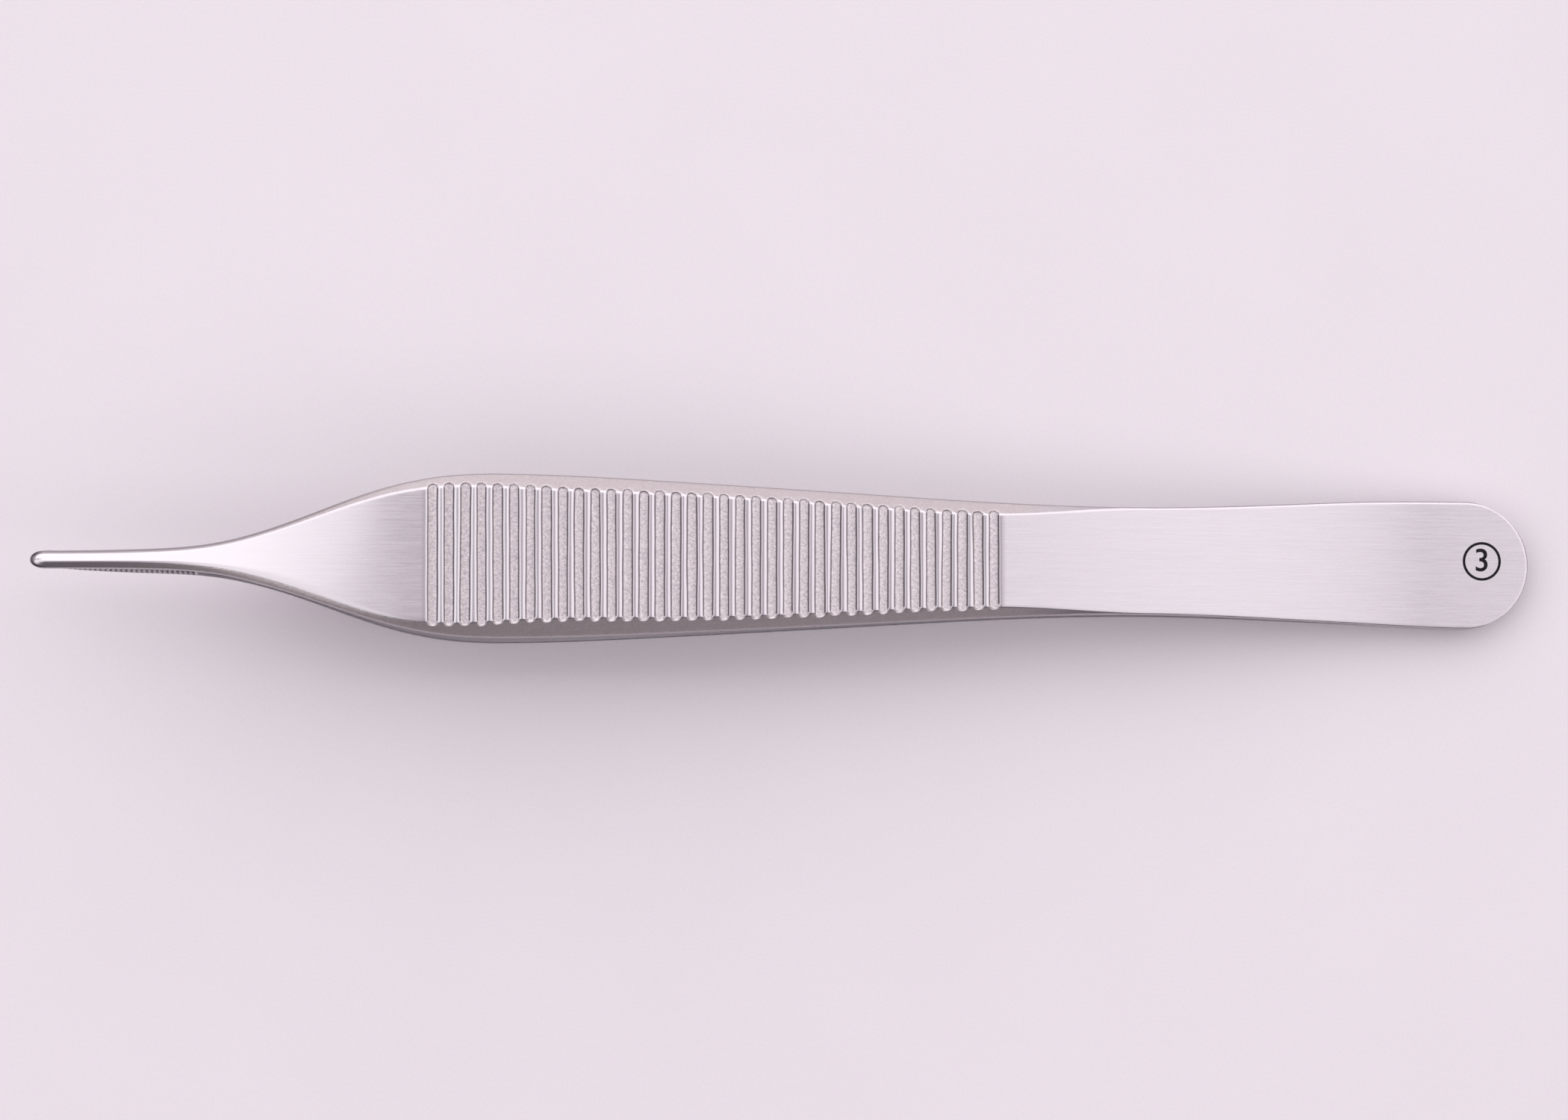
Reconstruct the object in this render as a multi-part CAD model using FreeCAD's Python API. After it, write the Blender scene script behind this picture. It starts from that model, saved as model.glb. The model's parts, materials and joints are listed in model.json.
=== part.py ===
import FreeCAD, Part
import math
import os

# Thumb forceps of the slim-nosed 12 cm pattern, all sizes in millimetres.
# Two mirrored spring-steel arms are welded face to face at the heel.
# An arm is drawn with x running from the tip to the heel, y across it and z
# away from the middle plane, where the two arms would meet if pressed flat.
# At the end the pair is laid down on its lower arm, as it rests on a table.

# Stretches along the arm, each from the end of the one before, starting at the tip
FINGER_LENGTH = 9.0
ROOT_LENGTH = 5.5
FLARE_LENGTH = 7.0
SHOULDER_LENGTH = 6.5
GRIP_FRONT_LENGTH = 5.5
GRIP_RISE_LENGTH = 4.5
GRIP_TAPER_LENGTH = 12.0
GRIP_NARROW_LENGTH = 16.0
GRIP_BACK_LENGTH = 12.0
WAIST_LENGTH = 10.5
SHANK_LENGTH = 31.5
WELD_LENGTH = 9.0
HEEL_FLAT_LENGTH = 8.5

# Height of the outer face over the middle plane
TIP_HEIGHT = 3.9
ROOT_HEIGHT = 4.65
FLARE_HEIGHT = 6.35
BELLY_HEIGHT = 7.8
TAPER_HEIGHT = 6.6
GRIP_BACK_HEIGHT = 4.0
WAIST_HEIGHT = 2.9
TIP_SLOPE = 0.04

# Thickness of the steel
TIP_THICKNESS = 1.15
ROOT_THICKNESS = 1.55
FLARE_THICKNESS = 1.8
BELLY_THICKNESS = 1.95
TAPER_THICKNESS = 1.9
GRIP_BACK_THICKNESS = 1.7
WAIST_THICKNESS = 1.25
HEEL_THICKNESS = 1.1
WELD_SLOPE = -0.06

# Outline seen from above
TIP_WIDTH = 1.5
FINGER_WIDTH = 1.58
ROOT_WIDTH = 2.42
FLARE_WIDTH = 6.32
SHOULDER_WIDTH = 10.7
GRIP_FRONT_WIDTH = 12.64
GRIP_WIDTH = 12.87
TAPER_WIDTH = 12.0
GRIP_NARROW_WIDTH = 10.3
GRIP_BACK_WIDTH = 9.04
WAIST_WIDTH = 8.6
HEEL_WIDTH = 10.3

# Bevel along both edges of the outer face: how far it reaches in, and its fall per mm
TIP_BEVEL = 0.45
FINGER_BEVEL = 0.52
FLARE_BEVEL = 0.6
SHOULDER_BEVEL = 0.7
GRIP_BEVEL = 1.2
GRIP_NARROW_BEVEL = 1.0
GRIP_BACK_BEVEL = 0.78
EDGE_BREAK = 0.12
BEVEL_SLOPE = 0.8

# Ribbed grip
GROOVE_COUNT = 36
GROOVE_PITCH = 1.275
FIRST_GROOVE_AT = 31.5
GROOVE_WIDTH = 0.84
GROOVE_FLOOR = 0.54
GROOVE_DEPTH = 0.33
GROOVE_OVERRUN = 0.36
GROOVE_END_SIDES = 6

# Cross serrations on the inner faces of the tips
SERRATION_START = 0.7
SERRATION_PITCH = 0.41
SERRATION_COUNT = 30
SERRATION_DEPTH = 0.14

# Nose of the tip in the side view
NOSE_RADIUS = 0.55

# Working allowances that leave no trace on the finished arm
MARGIN = 1.0
BEVEL_MARGIN = 0.6
CUT_MARGIN = 0.3
CURVE_STEP = 3.0
BEVEL_STEP = 4.0
TILT_STEP = 0.5


def point(x, y, z):
    return FreeCAD.Vector(x, y, z)


ALONG = point(1, 0, 0)
ACROSS = point(0, 1, 0)
UPWARD = point(0, 0, 1)
ORIGIN = point(0, 0, 0)


def smooth(stations, start_slope, end_slope):
    """Return the height at any place of the clamped cubic spline through the stations."""
    places = [place for place, value in stations]
    values = [value for place, value in stations]
    spans = [b - a for a, b in zip(places, places[1:])]
    rises = [(b - a) / span for a, b, span in zip(values, values[1:], spans)]
    slopes = [start_slope]
    factors = [0.0]
    for left, right, rise_left, rise_right in zip(spans, spans[1:], rises, rises[1:]):
        pivot = 2 * (left + right) - right * factors[-1]
        slopes.append((3 * (right * rise_left + left * rise_right) - right * slopes[-1]) / pivot)
        factors.append(left / pivot)
    slopes.append(end_slope)
    for index in range(len(spans) - 1, 0, -1):
        slopes[index] -= factors[index] * slopes[index + 1]

    def height(place):
        index = max([0] + [n for n in range(len(spans)) if places[n] <= place])
        span = spans[index]
        t = (place - places[index]) / span
        bend_in = slopes[index] - rises[index]
        bend_out = rises[index] - slopes[index + 1]
        chord = values[index] + t * span * rises[index]
        return chord + span * t * (1 - t) * (bend_in * (1 - t) + bend_out * t)

    return height


def even_places(start, end, step):
    """Return places from start to end, evenly spaced and about one step apart."""
    count = max(2, math.ceil((end - start) / step))
    return [start + (end - start) * n / count for n in range(count + 1)]


def curve_edge(points):
    """Return one smooth edge through the points."""
    curve = Part.BSplineCurve()
    curve.interpolate(Points=points)
    return curve.toShape()


def arc_edge(start, middle, end):
    return Part.Arc(start, middle, end).toShape()


def solid_between(wires):
    """Return the solid whose sections are the wires."""
    return Part.makeLoft(wires, True, False)


FINGER_AT = FINGER_LENGTH
ROOT_AT = FINGER_AT + ROOT_LENGTH
FLARE_AT = ROOT_AT + FLARE_LENGTH
SHOULDER_AT = FLARE_AT + SHOULDER_LENGTH
GRIP_FRONT_AT = SHOULDER_AT + GRIP_FRONT_LENGTH
GRIP_WIDEST_AT = GRIP_FRONT_AT + GRIP_RISE_LENGTH
TAPER_AT = GRIP_WIDEST_AT + GRIP_TAPER_LENGTH
GRIP_NARROWS_AT = TAPER_AT + GRIP_NARROW_LENGTH
GRIP_BACK_AT = GRIP_NARROWS_AT + GRIP_BACK_LENGTH
WAIST_AT = GRIP_BACK_AT + WAIST_LENGTH
LENGTH = WAIST_AT + SHANK_LENGTH
WELD_AT = LENGTH - WELD_LENGTH
HEEL_FLAT_AT = LENGTH - HEEL_FLAT_LENGTH
HEEL_RADIUS = HEEL_WIDTH / 2
HEEL_CENTRE_AT = LENGTH - HEEL_RADIUS
TIP_RADIUS = TIP_WIDTH / 2

outer_height = smooth(
    [
        (0.0, TIP_HEIGHT),
        (ROOT_AT, ROOT_HEIGHT),
        (FLARE_AT, FLARE_HEIGHT),
        (GRIP_FRONT_AT, BELLY_HEIGHT),
        (TAPER_AT, TAPER_HEIGHT),
        (GRIP_BACK_AT, GRIP_BACK_HEIGHT),
        (WAIST_AT, WAIST_HEIGHT),
        (HEEL_FLAT_AT, HEEL_THICKNESS),
    ],
    TIP_SLOPE,
    0.0,
)

inner_height = smooth(
    [
        (0.0, TIP_HEIGHT - TIP_THICKNESS),
        (ROOT_AT, ROOT_HEIGHT - ROOT_THICKNESS),
        (FLARE_AT, FLARE_HEIGHT - FLARE_THICKNESS),
        (GRIP_FRONT_AT, BELLY_HEIGHT - BELLY_THICKNESS),
        (TAPER_AT, TAPER_HEIGHT - TAPER_THICKNESS),
        (GRIP_BACK_AT, GRIP_BACK_HEIGHT - GRIP_BACK_THICKNESS),
        (WAIST_AT, WAIST_HEIGHT - WAIST_THICKNESS),
        (WELD_AT, 0.0),
    ],
    TIP_SLOPE,
    WELD_SLOPE,
)

half_width = smooth(
    [
        (TIP_RADIUS, TIP_RADIUS),
        (FINGER_AT, FINGER_WIDTH / 2),
        (ROOT_AT, ROOT_WIDTH / 2),
        (FLARE_AT, FLARE_WIDTH / 2),
        (SHOULDER_AT, SHOULDER_WIDTH / 2),
        (GRIP_FRONT_AT, GRIP_FRONT_WIDTH / 2),
        (GRIP_WIDEST_AT, GRIP_WIDTH / 2),
        (TAPER_AT, TAPER_WIDTH / 2),
        (GRIP_NARROWS_AT, GRIP_NARROW_WIDTH / 2),
        (GRIP_BACK_AT, GRIP_BACK_WIDTH / 2),
        (WAIST_AT, WAIST_WIDTH / 2),
        (HEEL_CENTRE_AT, HEEL_RADIUS),
    ],
    0.0,
    0.0,
)

tapered_bevel = smooth(
    [
        (0.0, TIP_BEVEL),
        (FINGER_AT, FINGER_BEVEL),
        (FLARE_AT, FLARE_BEVEL),
        (SHOULDER_AT, SHOULDER_BEVEL),
        (GRIP_WIDEST_AT, GRIP_BEVEL),
        (GRIP_NARROWS_AT, GRIP_NARROW_BEVEL),
        (GRIP_BACK_AT, GRIP_BACK_BEVEL),
        (WAIST_AT, EDGE_BREAK),
    ],
    0.0,
    0.0,
)


def bevel_reach(place):
    """Return how far the bevel reaches in from the edge; behind the waist it is an edge break."""
    return tapered_bevel(place) if place < WAIST_AT else EDGE_BREAK


def face_slope(height, place):
    """Return the angle of a face in the side view, in degrees, up towards the heel."""
    rise = height(place + TILT_STEP) - height(place - TILT_STEP)
    return math.degrees(math.atan2(rise, 2 * TILT_STEP))


def side_profile():
    """Return the arm's outline in the side view, a face in the plane y = 0."""
    nose_top = point(NOSE_RADIUS, 0, outer_height(NOSE_RADIUS))
    nose_front = point(0, 0, nose_top.z - NOSE_RADIUS)
    nose_side = NOSE_RADIUS * (1 - math.sqrt(0.5))
    nose_middle = point(nose_side, 0, nose_top.z - nose_side)
    outer = [point(x, 0, outer_height(x)) for x in even_places(NOSE_RADIUS, HEEL_FLAT_AT, CURVE_STEP)]
    inner = [point(x, 0, inner_height(x)) for x in even_places(0.0, WELD_AT, CURVE_STEP)]
    heel_top = point(LENGTH + MARGIN, 0, HEEL_THICKNESS)
    heel_bottom = point(LENGTH + MARGIN, 0, 0)
    edges = [
        arc_edge(nose_front, nose_middle, nose_top),
        curve_edge(outer),
        Part.makeLine(outer[-1], heel_top),
        Part.makeLine(heel_top, heel_bottom),
        Part.makeLine(heel_bottom, inner[-1]),
        curve_edge(inner),
        Part.makeLine(inner[0], nose_front),
    ]
    return Part.Face(Part.Wire(edges))


def plan_outline():
    """Return the arm's outline seen from above, a face in the plane z = 0."""
    places = even_places(TIP_RADIUS, HEEL_CENTRE_AT, CURVE_STEP)
    left = [point(x, half_width(x), 0) for x in places]
    right = [point(x, -half_width(x), 0) for x in places]
    edges = [
        arc_edge(right[0], ORIGIN, left[0]),
        curve_edge(left),
        arc_edge(left[-1], point(LENGTH, 0, 0), right[-1]),
        curve_edge(right),
    ]
    return Part.Face(Part.Wire(edges))


def bevel_section(place):
    """Return the triangle that the bevel removes at one place, past the steel on both sides."""
    reach = bevel_reach(place)
    width = half_width(place)
    height = outer_height(min(place, HEEL_FLAT_AT))
    slant = math.hypot(1.0, BEVEL_SLOPE)
    step_out = BEVEL_MARGIN / slant
    step_up = BEVEL_MARGIN * BEVEL_SLOPE / slant
    inner = point(place, width - reach - step_out, height + step_up)
    outer = point(place, width + step_out, height - reach * BEVEL_SLOPE - step_up)
    corner = point(place, outer.y, inner.z)
    return Part.makePolygon([inner, outer, corner, inner])


def bevel_cutters():
    """Return the cutters for both long bevels and for the edge break round the heel."""
    places = even_places(TIP_RADIUS, HEEL_CENTRE_AT, BEVEL_STEP)
    side = solid_between([bevel_section(place) for place in places])
    front = bevel_section(TIP_RADIUS)
    front.translate(-MARGIN * ALONG)
    nose = solid_between([front, bevel_section(TIP_RADIUS)])
    back = Part.Face(bevel_section(HEEL_CENTRE_AT))
    heel = back.revolve(point(HEEL_CENTRE_AT, 0, 0), UPWARD, -180)
    pieces = [side, nose]
    return pieces + [piece.mirror(ORIGIN, ACROSS) for piece in pieces] + [heel]


def slot(straight, radius, height):
    """Return a slot outline across the arm at one height, its round ends in short flats."""
    turns = [math.pi * n / GROOVE_END_SIDES for n in range(GROOVE_END_SIDES + 1)]
    end = [point(radius * math.cos(a), straight + radius * math.sin(a), height) for a in turns]
    corners = end + [point(-corner.x, -corner.y, height) for corner in end]
    return Part.makePolygon(corners + corners[:1])


def groove_cutter(place):
    """Return the cutter of one grip groove: steep walls, flat floor, closed ends."""
    straight = half_width(place) - bevel_reach(place) + GROOVE_OVERRUN - GROOVE_WIDTH / 2
    wall_run = (GROOVE_WIDTH - GROOVE_FLOOR) / 2
    top_radius = GROOVE_WIDTH / 2 + wall_run * CUT_MARGIN / GROOVE_DEPTH
    floor = slot(straight, GROOVE_FLOOR / 2, -GROOVE_DEPTH)
    top = slot(straight, top_radius, CUT_MARGIN)
    cutter = Part.makeLoft([floor, top], True, True)
    cutter.rotate(ORIGIN, ACROSS, -face_slope(outer_height, place))
    cutter.translate(point(place, 0, outer_height(place)))
    return cutter


def serration_cutter(place):
    """Return the cutter of one V groove across the inner face of a tip."""
    half = SERRATION_PITCH / 2
    apex = point(0, 0, SERRATION_DEPTH)
    spread = half * (SERRATION_DEPTH + CUT_MARGIN) / SERRATION_DEPTH
    left = point(-spread, 0, -CUT_MARGIN)
    right = point(spread, 0, -CUT_MARGIN)
    section = Part.Face(Part.makePolygon([left, apex, right, left]))
    reach = ROOT_WIDTH + MARGIN
    section.translate(-reach / 2 * ACROSS)
    cutter = section.extrude(reach * ACROSS)
    cutter.rotate(ORIGIN, ACROSS, -face_slope(inner_height, place))
    cutter.translate(point(place, 0, inner_height(place)))
    return cutter


def make_arm():
    """Return the arm above the middle plane, as one solid."""
    reach = GRIP_WIDTH + MARGIN
    side = side_profile()
    side.translate(-reach / 2 * ACROSS)
    slab = side.extrude(reach * ACROSS)
    plan = plan_outline()
    plan.translate(-MARGIN * UPWARD)
    arm = slab.common(plan.extrude((BELLY_HEIGHT + 2 * MARGIN) * UPWARD))
    for cutter in bevel_cutters():
        arm = arm.cut(cutter)
    grooves = [groove_cutter(FIRST_GROOVE_AT + n * GROOVE_PITCH) for n in range(GROOVE_COUNT)]
    arm = arm.cut(grooves)
    teeth = [serration_cutter(SERRATION_START + n * SERRATION_PITCH) for n in range(SERRATION_COUNT)]
    arm = arm.cut(teeth)
    return arm.Solids[0]


def resting_tilt():
    """Return the angle of the middle plane when heel and belly both touch the table."""
    places = even_places(GRIP_FRONT_AT, WAIST_AT, TILT_STEP)
    rises = [(outer_height(x) - HEEL_THICKNESS) / (LENGTH - x) for x in places]
    return math.degrees(math.atan(max(rises)))


def lay_down(arms):
    """Turn and move the pair so that it lies on its lower arm over the frame's origin."""
    for arm in arms:
        arm.translate(-LENGTH / 2 * ALONG)
        arm.rotate(ORIGIN, ACROSS, resting_tilt())
    box = Part.makeCompound(arms).optimalBoundingBox()
    for arm in arms:
        arm.translate(point(-(box.XMin + box.XMax) / 2, 0, -box.ZMin))
    return arms


upper_arm = make_arm()
lower_arm = upper_arm.mirror(ORIGIN, UPWARD)
upper_arm, lower_arm = lay_down([upper_arm, lower_arm])

os.makedirs("parts", exist_ok=True)
for name, arm in (("upper_arm", upper_arm), ("lower_arm", lower_arm)):
    arm.exportStep("parts/" + name + ".step")
    box = arm.BoundBox
    print(name, "valid", arm.isValid(), "volume", round(arm.Volume, 2), "faces", len(arm.Faces))
    print("  x", round(box.XMin, 2), round(box.XMax, 2), "y", round(box.YMin, 2), round(box.YMax, 2),
          "z", round(box.ZMin, 2), round(box.ZMax, 2))
print("tilt", round(resting_tilt(), 3))
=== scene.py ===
# %% [markdown]
# # Dressing the thumb forceps
#
# The object is a pair of slim-nosed thumb forceps, 12 cm long: two spring-steel arms, welded together at the
# heel, with a ribbed grip outside and fine teeth inside the tips. It lies on one arm and is seen from above.
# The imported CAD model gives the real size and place, and this file gives the steel its look.
#
# We start by loading that model as a fixed frame and noting the box it fills.

# %% Load the frame
import json
import math

import bpy
import numpy as np
from mathutils import Matrix, Vector


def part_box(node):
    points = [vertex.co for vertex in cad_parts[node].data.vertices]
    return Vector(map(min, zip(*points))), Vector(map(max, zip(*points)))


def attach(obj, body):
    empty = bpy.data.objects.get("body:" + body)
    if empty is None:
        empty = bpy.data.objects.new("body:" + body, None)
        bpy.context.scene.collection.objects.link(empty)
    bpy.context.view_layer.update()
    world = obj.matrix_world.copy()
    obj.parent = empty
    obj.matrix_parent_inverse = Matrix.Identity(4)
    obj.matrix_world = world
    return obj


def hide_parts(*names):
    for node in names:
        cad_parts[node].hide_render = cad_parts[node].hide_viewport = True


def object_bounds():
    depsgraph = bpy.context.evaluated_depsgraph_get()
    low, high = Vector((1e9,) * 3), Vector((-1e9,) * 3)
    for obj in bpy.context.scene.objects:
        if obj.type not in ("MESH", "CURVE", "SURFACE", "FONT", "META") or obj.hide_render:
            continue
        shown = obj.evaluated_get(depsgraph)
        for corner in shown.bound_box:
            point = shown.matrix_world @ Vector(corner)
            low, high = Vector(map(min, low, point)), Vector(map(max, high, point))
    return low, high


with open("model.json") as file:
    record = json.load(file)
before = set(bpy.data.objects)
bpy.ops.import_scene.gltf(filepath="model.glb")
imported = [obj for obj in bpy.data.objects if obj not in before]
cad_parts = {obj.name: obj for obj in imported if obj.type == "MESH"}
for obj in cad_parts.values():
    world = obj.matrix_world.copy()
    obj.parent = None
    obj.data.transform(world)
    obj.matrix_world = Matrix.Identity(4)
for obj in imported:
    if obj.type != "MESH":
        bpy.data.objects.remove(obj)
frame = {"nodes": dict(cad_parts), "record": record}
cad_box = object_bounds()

MM = 0.001
box_mm = [[round(side / MM, 2) for side in corner] for corner in cad_box]
print("frame nodes:", sorted(frame["nodes"]), "box in mm:", box_mm)

# %% [markdown]
# ## A smooth line through a few stations
#
# A forged arm has no corners along its length: its width, height and bevel all change smoothly. We could
# place the control points of a Bezier curve by eye, but then a width couldn't be set at a given place. So
# each quantity is a clamped cubic spline through a few stations measured from the tip, and NumPy solves for
# its slopes. Two helpers go with it: `soft_min` joins two surfaces with a rounded corner, and `ease` fades
# something in without a kink.

# %% Clamped cubic spline
def smooth(places, values, start_slope=0.0, end_slope=0.0):
    """Return a function that gives the smooth line's height at any places between the stations."""
    x = np.array(places, float)
    y = np.array(values, float)
    spans = np.diff(x)
    rises = np.diff(y) / spans
    system = np.eye(len(x))
    right = np.r_[start_slope, np.zeros(len(x) - 2), end_slope]
    for i in range(1, len(x) - 1):
        system[i, i - 1:i + 2] = spans[i], 2 * (spans[i - 1] + spans[i]), spans[i - 1]
        right[i] = 3 * (spans[i] * rises[i - 1] + spans[i - 1] * rises[i])
    slopes = np.linalg.solve(system, right)

    def line(place):
        place = np.clip(place, x[0], x[-1])
        i = np.clip(np.searchsorted(x, place, side="right") - 1, 0, len(spans) - 1)
        t = (place - x[i]) / spans[i]
        bend = (slopes[i] - rises[i]) * (1 - t) + (rises[i] - slopes[i + 1]) * t
        return y[i] + spans[i] * t * (rises[i] + (1 - t) * bend)

    return line


def soft_min(a, b, blend):
    """Return the lower of two heights, with the corner between them rounded over the blend."""
    mix = np.clip(0.5 + 0.5 * (b - a) / blend, 0, 1)
    return b + (a - b) * mix - blend * mix * (1 - mix)


def ease(t):
    """Return 0 below 0 and 1 above 1, with a smooth step between."""
    t = np.clip(t, 0, 1)
    return t * t * (3 - 2 * t)


quarters = np.array([0.25, 0.5, 0.75])
print("a smooth step from 0 to 1, at its quarters:", np.round(smooth([0, 1], [0, 1])(quarters), 3))

# %% [markdown]
# ## The arm's lines
#
# These are the stations of one arm in millimetres, measured from the tip as in the CAD source: the outer
# face's height over the plane between the arms, the inner face's height, half the width, and how far each
# bevel reaches in from the edge. The far and the near bevel aren't quite alike. The tip ends in a rounded
# nose and the heel in a half circle, a little flattened.
#
# No real pair is quite true. The upper arm's finger is twisted a few degrees towards the back, and the tips
# and the heels sway sideways by about a quarter of a millimetre at most. The twist line and the sway lines
# say how much of that there is at each place.

# %% Stations of the arm
LENGTH = 120.0
FINGER, ROOT, FLARE, SHOULDER, GRIP_FRONT, WIDEST = 9.0, 14.5, 21.5, 28.0, 33.5, 38.0
TAPER, NARROW, GRIP_BACK, WAIST, WELD, HEEL_FLAT = 50.0, 66.0, 78.0, 88.5, 111.0, 111.5
TIP_HALF = 0.70
TIP_ROUND = 1.2
NOSE_RADIUS = 0.55
HEEL_RADIUS = 5.15
HEEL_CENTRE = LENGTH - HEEL_RADIUS
HEEL_THICK = 1.1
HEEL_PULL = 0.035
HEEL_PULL_OVER = 3.0
BEVEL_SLOPE = 0.8
BEVEL_LIMIT = 0.62
EDGE_BREAK = 0.12
EDGE_ROUND = 0.10
FAR_SOFTNESS_LIMIT = 0.1
TWIST_SHIFT = 0.15
TWIST_SLOPE = 0.17

outer_height = smooth(
    [0, ROOT, FLARE, GRIP_FRONT, TAPER, GRIP_BACK, WAIST, HEEL_FLAT],
    [3.9, 4.65, 6.35, 7.8, 6.6, 4.0, 2.9, HEEL_THICK], start_slope=0.04)
inner_height = smooth(
    [0, ROOT, FLARE, GRIP_FRONT, TAPER, GRIP_BACK, WAIST, WELD],
    [2.75, 3.1, 4.55, 5.85, 4.7, 2.3, 1.65, 0.0], start_slope=0.04, end_slope=-0.06)
side_line = smooth(
    [TIP_ROUND, FINGER, ROOT, FLARE, SHOULDER, GRIP_FRONT,
     WIDEST, TAPER, NARROW, GRIP_BACK, WAIST, HEEL_CENTRE],
    [TIP_HALF, 0.78, 1.21, 3.16, 5.35, 6.32, 6.435, 6.0, 5.15, 4.52, 4.3, HEEL_RADIUS])
bevel_stations = [0, FINGER, FLARE, SHOULDER, WIDEST, TAPER, NARROW, GRIP_BACK, WAIST]
far_bevel = smooth(bevel_stations, [0.40, 0.43, 0.48, 0.60, 1.12, 1.08, 1.10, 0.88, EDGE_BREAK])
near_bevel = smooth(bevel_stations, [0.40, 0.40, 0.36, 0.54, 1.42, 1.24, 1.02, 0.76, EDGE_BREAK])
ridge_softness = smooth([0, FINGER, ROOT, FLARE, SHOULDER, WIDEST], [0.06, 0.08, 0.2, 0.42, 0.24, 0.08])
twist_line = smooth([0, FINGER, FLARE, SHOULDER], [1.0, 1.0, 0.25, 0.0])
upper_sway = smooth([0, FINGER, FLARE, SHOULDER], [-0.27, -0.20, -0.08, 0.0])
lower_sway = smooth([0, 4.5, ROOT, FLARE, SHOULDER, WIDEST], [0.11, -0.10, -0.10, 0.11, 0.12, 0.0])
heel_sway = smooth([WELD - 7, HEEL_CENTRE + 1], [0.0, -0.17])


def half_width(place):
    """Return half the arm's width, with the rounded tip and the heel's half circle."""
    place = np.asarray(place, float)
    tip = TIP_HALF * np.sqrt(np.clip(1 - (1 - place / TIP_ROUND)**2, 0, None))
    heel = np.sqrt(np.clip(HEEL_RADIUS**2 - (place - HEEL_CENTRE)**2, 0, None))
    heel = heel * (1 - HEEL_PULL * ease((place - HEEL_CENTRE) / HEEL_PULL_OVER))
    side = np.where(place < TIP_ROUND, tip, side_line(place))
    return np.where(place > HEEL_CENTRE, heel, side)


for title, place in (("finger", FINGER), ("grip", WIDEST), ("waist", WAIST)):
    print(title, "width:", round(2 * float(half_width(place)), 2), "mm")

# %% [markdown]
# ## Rows and columns of the mesh
#
# The grip's 36 grooves were rolled into the steel, and each has steep narrow walls. A displacement texture
# would need millions of even faces to show them. Instead the mesh has its rows where the walls are: rows run
# across the arm, close together at each groove's wall and wide apart on its floor, on the plain shank and on
# the heel. Columns run along the arm and crowd at the bevel's ridge and at the edge.
#
# Each row is a place along the arm, the number of its groove (or -1) and the offset from that groove's
# middle.

# %% Rows along the arm, columns across it
GROOVE_COUNT = 36
GROOVE_PITCH = 1.275
FIRST_GROOVE = 31.5
TOOTH_START = 0.7
TOOTH_PITCH = 0.41
TOOTH_COUNT = 30
TOOTH_DEPTH = 0.14
NOSE_ROWS, FLARE_ROWS, SHANK_ROWS, HEEL_ROWS = 8, 62, 96, 40
ROW_PAST_TOOTH = 0.06
NEARLY_ALL = 0.9999

groove_steps = [0.0, 0.12, 0.21, 0.27, 0.31, 0.34, 0.37, 0.395, 0.42, 0.445, 0.475, 0.52, 0.575]
groove_steps = [-step for step in groove_steps[:0:-1]] + groove_steps
land_middle = GROOVE_PITCH / 2


def build_rows():
    """Return the rows from the tip to the heel."""
    rows = []
    for angle in np.linspace(0, math.pi / 2, NOSE_ROWS + 1)[:-1]:
        rows.append((NOSE_RADIUS * (1 - math.cos(angle)), -1, 0.0))
    for tooth in range(TOOTH_COUNT):
        for part in (0.0, 0.25, 0.5, 0.75):
            rows.append((TOOTH_START + (tooth - 0.5 + part) * TOOTH_PITCH + ROW_PAST_TOOTH, -1, 0.0))
    teeth_end = rows[-1][0]
    grip_start = FIRST_GROOVE - land_middle
    rows += [(place, -1, 0.0) for place in np.linspace(teeth_end, grip_start, FLARE_ROWS)[1:-1]]
    for groove in range(GROOVE_COUNT):
        middle = FIRST_GROOVE + groove * GROOVE_PITCH
        rows.append((middle - land_middle, groove, -land_middle))
        rows += [(middle + step, groove, step) for step in groove_steps]
    grip_end = FIRST_GROOVE + (GROOVE_COUNT - 0.5) * GROOVE_PITCH
    rows.append((grip_end, GROOVE_COUNT - 1, land_middle))
    rows += [(place, -1, 0.0) for place in np.linspace(grip_end, HEEL_CENTRE, SHANK_ROWS)[1:]]
    for angle in np.linspace(0, math.pi / 2, HEEL_ROWS)[1:]:
        rows.append((HEEL_CENTRE + HEEL_RADIUS * math.sin(angle) * NEARLY_ALL, -1, 0.0))
    return rows


bevel_shares = [0, .04, .09, .15, .21, .27, .33, .39, .46, .56, .68, .8, .87, .92, .96, 1.0]
face_shares = [0, .012, .026, .045, .07, .1, .15, .22, .3, .4, .5, .6, .7, .8, .9, 1.0]
from_edge = np.array(bevel_shares[::-1])
to_middle = np.array(face_shares[1:])
rows = build_rows()
print("rows:", len(rows), "columns a side:", len(from_edge) + len(to_middle))

# %% [markdown]
# ## Bevels and edges
#
# The outer face starts flat across the arm, so only its fall below that flat has to be worked out. It depends
# on how far in from the outline a point lies, measured square to the outline. Within the bevel's reach the
# face falls at a steady slope. The ridge between is soft on the near side of the flare and crisp elsewhere,
# and the last tenth of a millimetre rounds off into the edge.

# %% Columns, distance from the edge and bevels
def columns_across(width, far, near, bent):
    """Return where each row's points lie across the arm, from the far edge to the near one."""
    sides = []
    for reach in (np.minimum(far, BEVEL_LIMIT * width) - bent, np.minimum(near, BEVEL_LIMIT * width) + bent):
        ridge = width - reach
        sides.append(np.concatenate([ridge + reach * from_edge, ridge * (1 - to_middle)], axis=1))
    return np.concatenate([sides[0], -sides[1][:, -2::-1]], axis=1)


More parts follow.
